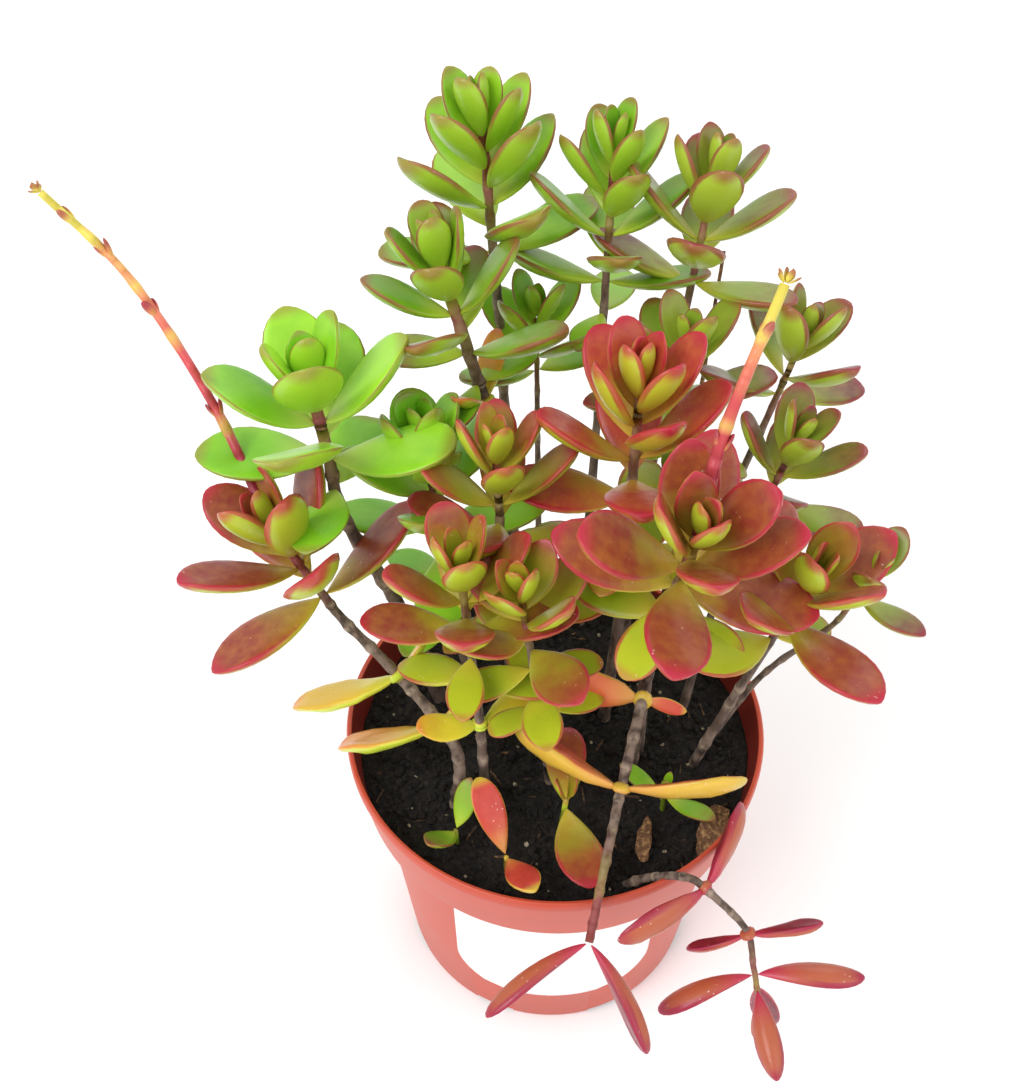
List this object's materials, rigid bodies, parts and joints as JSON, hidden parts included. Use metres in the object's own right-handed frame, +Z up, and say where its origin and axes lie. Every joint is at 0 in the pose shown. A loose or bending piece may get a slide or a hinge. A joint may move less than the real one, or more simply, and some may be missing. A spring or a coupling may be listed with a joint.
{
  "type": "potted red-carpet plant",
  "caption": "Branching red and green succulent with waxy leaves, flower stalks and trailing shoots, planted in soil in a round terracotta-red plastic nursery pot with a blank label.",
  "frame": {"origin": "centre of the pot's flat base, on the surface it stands on", "axes": "+Z up along the pot's axis, -Y towards the label and the stem that hangs over the front rim, +X to the right"},
  "size_m": [0.1792, 0.1638, 0.2232],
  "materials": {
    "terracotta_plastic": "satin moulded terracotta-red polypropylene",
    "potting_soil": "loose dark potting mix with pale specks",
    "label_paper": "blank matt white label",
    "woody_stem": "rough grey-brown bark with leaf scars",
    "flower_stalk": "waxy red stalk turning orange and yellow towards its tip",
    "green_leaf": "waxy lime-green succulent leaf with thin dark-red edges",
    "olive_leaf": "waxy olive leaf flushed with dull red",
    "red_leaf": "waxy brown-red leaf with a yellow-green underside",
    "crimson_leaf": "waxy crimson leaf with pale mineral spots",
    "coral_leaf": "glossy old leaf faded to coral orange",
    "amber_leaf": "glossy old leaf faded to yellow and amber",
    "dead_matter": "dry tan plant remains"
  },
  "bodies": {
    "root": {"back_left_stem": "woody_stem", "left_back_stem": "woody_stem", "small_back_stem": "woody_stem", "back_centre_stem": "woody_stem", "back_right_stem": "woody_stem", "right_inner_stem": "woody_stem", "right_back_stem": "woody_stem", "right_middle_stem": "woody_stem", "centre_stem": "woody_stem", "middle_stem": "woody_stem", "front_left_stem": "woody_stem", "front_middle_stem": "woody_stem", "front_right_stem": "woody_stem", "right_low_stem": "woody_stem", "right_tip_stem": "woody_stem", "left_tall_stem": "woody_stem", "left_low_stem": "woody_stem", "left_inner_stem": "woody_stem", "front_trailing_stem": "woody_stem", "right_trailing_stem": "woody_stem", "seedling_front": "green_leaf", "seedling_red": "crimson_leaf", "seedling_left": "green_leaf", "seedling_right": "green_leaf", "left_flower_stalk": "flower_stalk", "right_flower_stalk": "flower_stalk", "left_yellow_pair": "amber_leaf", "left_amber_pair": "amber_leaf", "middle_amber_pair": "amber_leaf", "back_amber_pair": "amber_leaf", "upper_coral_pair": "coral_leaf", "lower_coral_pair": "coral_leaf", "rim_pair": "crimson_leaf", "hanging_pair": "crimson_leaf", "back_left_leaves": "green_leaf", "left_back_leaves": "green_leaf", "small_back_leaves": "green_leaf", "back_centre_leaves": "green_leaf", "back_right_leaves": "olive_leaf", "right_inner_leaves": "olive_leaf", "right_back_leaves": "olive_leaf", "right_middle_leaves": "olive_leaf", "centre_leaves": "red_leaf", "middle_leaves": "red_leaf", "front_left_leaves": "red_leaf", "front_middle_leaves": "red_leaf", "front_right_leaves": "red_leaf", "right_low_leaves": "red_leaf", "right_tip_leaves": "olive_leaf", "left_tall_leaves": "green_leaf", "left_low_leaves": "red_leaf", "left_inner_leaves": "green_leaf", "front_trailing_leaves": "crimson_leaf", "right_trailing_leaves": "crimson_leaf", "dry_twig": "dead_matter", "fallen_leaf": "dead_matter", "shrivelled_leaf": "dead_matter", "pot": "terracotta_plastic", "soil": "potting_soil", "label": "label_paper"}
  },
  "joints": []
}
